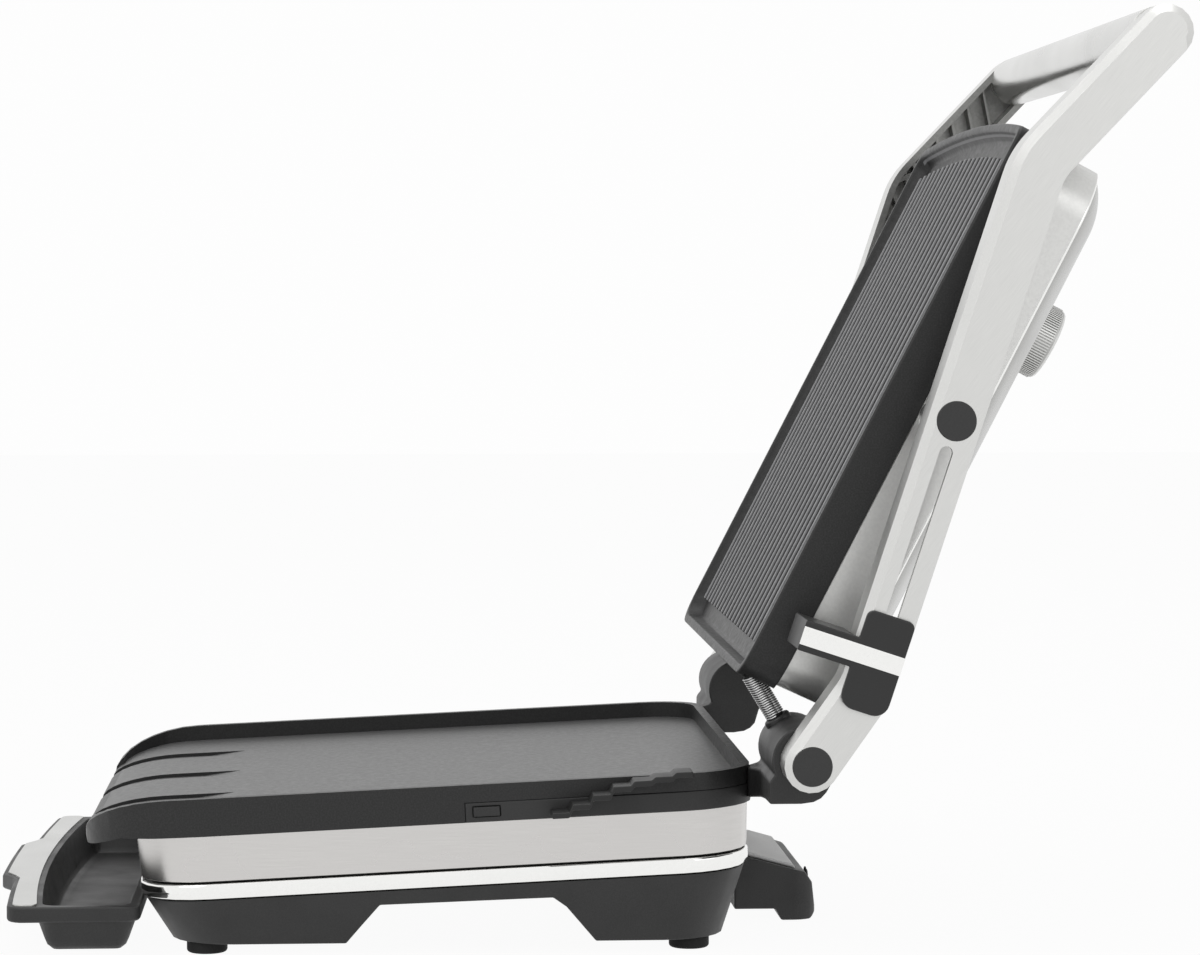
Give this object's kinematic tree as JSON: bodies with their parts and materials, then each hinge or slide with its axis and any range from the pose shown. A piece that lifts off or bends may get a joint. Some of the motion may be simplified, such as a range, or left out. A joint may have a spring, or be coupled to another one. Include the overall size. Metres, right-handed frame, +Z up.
{
  "type": "electric indoor grill with hinged lid",
  "caption": "Countertop contact grill with ribbed floating lid on side arms, smooth lower griddle, drip tray, height slider, dial and release button.",
  "frame": {"origin": "centre of the overall box on the counter plane", "axes": "+Z up, -Y the front with the drip tray, +Y the rear with the hinge and the handle of the open lid, +X the side with the height slider"},
  "size_m": [0.3846, 0.4901, 0.3909],
  "materials": {
    "black_plastic": "fine speckled moulding",
    "foot_rubber": "matte",
    "bright_chrome": "bright",
    "skirt_steel": "brushed",
    "plate_coating": "non-stick coating",
    "element_steel": "heat-tinted",
    "shield_aluminium": "mill",
    "cover_plastic": "satin",
    "pin_steel": "turned",
    "cast_aluminium": "satin brushed",
    "cap_plastic": "satin",
    "handle_aluminium": "satin",
    "shell_paint": "satin silver",
    "thermostat_brass": "plain",
    "dial_plastic": "silver",
    "trim_aluminium": "brushed"
  },
  "bodies": {
    "base": {"base_tub": "black_plastic", "base_feet": "foot_rubber", "chrome_band": "bright_chrome", "steel_skirt": "skirt_steel", "base_bezel": "black_plastic", "griddle_plate": "plate_coating", "height_rack": "black_plastic", "lower_heating_element": "element_steel", "heat_shield": "shield_aluminium", "rear_housing": "black_plastic", "rear_housing_cover": "cover_plastic", "cord_gland": "foot_rubber", "hinge_bracket_left": "black_plastic", "hinge_bracket_right": "black_plastic", "base_screws": "pin_steel", "conduit_sleeve": "pin_steel", "conduit_liner": "cap_plastic"},
    "button": {"release_button": "black_plastic"},
    "drip_tray": {"tray_tub": "black_plastic", "tray_trim": "trim_aluminium"},
    "arms": {"hinge_pin_left": "pin_steel", "hinge_pin_right": "pin_steel", "arm_left": "cast_aluminium", "arm_right": "cast_aluminium", "hinge_caps": "cap_plastic", "pivot_caps": "cap_plastic", "handle_bar": "handle_aluminium", "handle_insert": "cap_plastic"},
    "height_slider": {"slider_body": "cap_plastic", "slider_band": "bright_chrome", "slider_clamp": "pin_steel"},
    "pivot_bushes": {"pivot_bush_left": "pin_steel", "pivot_bush_right": "pin_steel"},
    "lid": {"lid_shell": "shell_paint", "lid_cover": "skirt_steel", "ribbed_plate": "plate_coating", "upper_heating_element": "element_steel", "thermostat": "thermostat_brass", "dial_bezel": "dial_plastic", "lid_screws": "pin_steel"},
    "dial": {"dial_knob": "dial_plastic", "dial_shaft": "pin_steel"}
  },
  "joints": [
    {"name": "lid_hinge", "type": "hinge", "parent": "base", "child": "arms", "pos_m": [0, 0.09163, 0.085], "axis": [1, 0, 0], "range_deg": [-77, 107], "deforming": ["conduit_sleeve", "conduit_liner"]},
    {"name": "lid_float", "type": "hinge", "parent": "arms", "child": "pivot_bushes", "pos_m": [0, 0.14922, 0.22354], "axis": [1, 0, 0], "range_deg": [-9.3, 12.9]},
    {"name": "lid_level", "type": "hinge", "parent": "pivot_bushes", "child": "lid", "pos_m": [0, 0.14922, 0.22354], "axis": [-1, 0, 0], "range_deg": [-23.6, 0.8]},
    {"name": "height_slide", "type": "slide", "parent": "arms", "child": "height_slider", "axis": [0, 0.314, 0.9494], "range_m": [0, 0.072]},
    {"name": "dial_turn", "type": "hinge", "parent": "lid", "child": "dial", "pos_m": [0, 0.1537, 0.2859], "axis": [0, 0.8886, -0.4587], "range_deg": [0, 270]},
    {"name": "tray_slide", "type": "slide", "parent": "base", "child": "drip_tray", "axis": [0, -1, 0], "range_m": [0, 0.12]},
    {"name": "release_press", "type": "slide", "parent": "base", "child": "button", "axis": [-1, 0, 0], "range_m": [0, 0.003], "stiffness_N_per_m": 400}
  ],
  "couplings": [
    {"joint": "lid_float", "follows": "lid_hinge", "ratio": 0.12}
  ]
}
